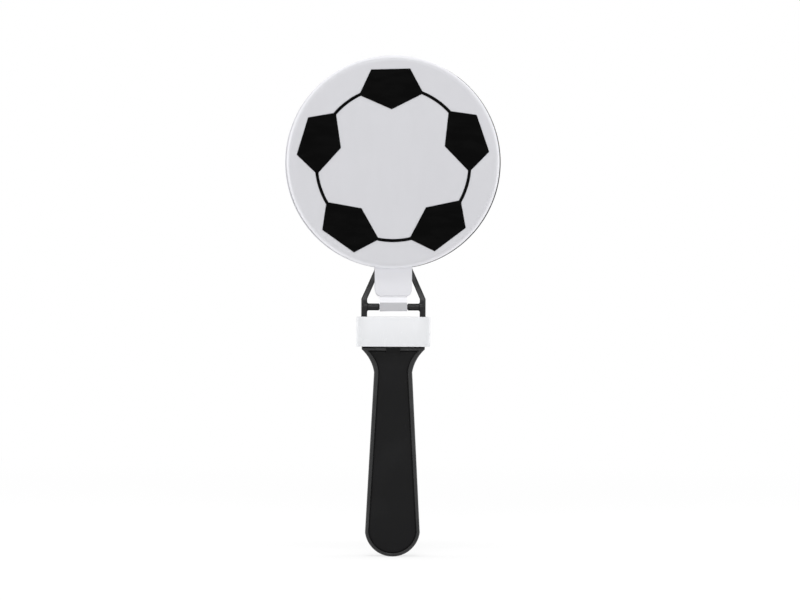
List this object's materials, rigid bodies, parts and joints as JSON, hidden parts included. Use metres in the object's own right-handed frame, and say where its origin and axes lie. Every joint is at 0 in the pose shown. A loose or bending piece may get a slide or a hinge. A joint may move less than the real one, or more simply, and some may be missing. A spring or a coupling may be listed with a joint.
{
  "type": "football clapper",
  "caption": "Hand clapper noise maker: two hinged round dished paddles with a football pattern that clap against a fixed centre disc on a slim grip with a square collar.",
  "frame": {"origin": "middle of the hand grip, halfway between the collar's lower edge and the rounded end, in the middle plane of the grip", "axes": "+Z along the grip towards the paddles, -Y out of the front paddle's printed face, +X to the right seen from the front"},
  "size_m": [0.0928, 0.0154, 0.215],
  "materials": {
    "white_plastic": "smooth white moulded plastic, soft gloss",
    "black_plastic": "black moulded plastic, satin with soft highlights on the rounded edges",
    "black_ink": "flat black pad print"
  },
  "bodies": {
    "handle": {"grip": "black_plastic", "collar": "white_plastic", "centre_paddle": "black_plastic"},
    "front": {"front_paddle": "white_plastic", "front_print": "black_ink"},
    "rear": {"rear_paddle": "white_plastic", "rear_print": "black_ink"}
  },
  "joints": [
    {"name": "front_hinge", "type": "hinge", "parent": "handle", "child": "front", "pos_m": [0, -0.0036, 0.062], "axis": [1, 0, 0], "range_deg": [0, 125]},
    {"name": "rear_hinge", "type": "hinge", "parent": "handle", "child": "rear", "pos_m": [0, 0.0036, 0.062], "axis": [-1, 0, 0], "range_deg": [0, 125]}
  ]
}
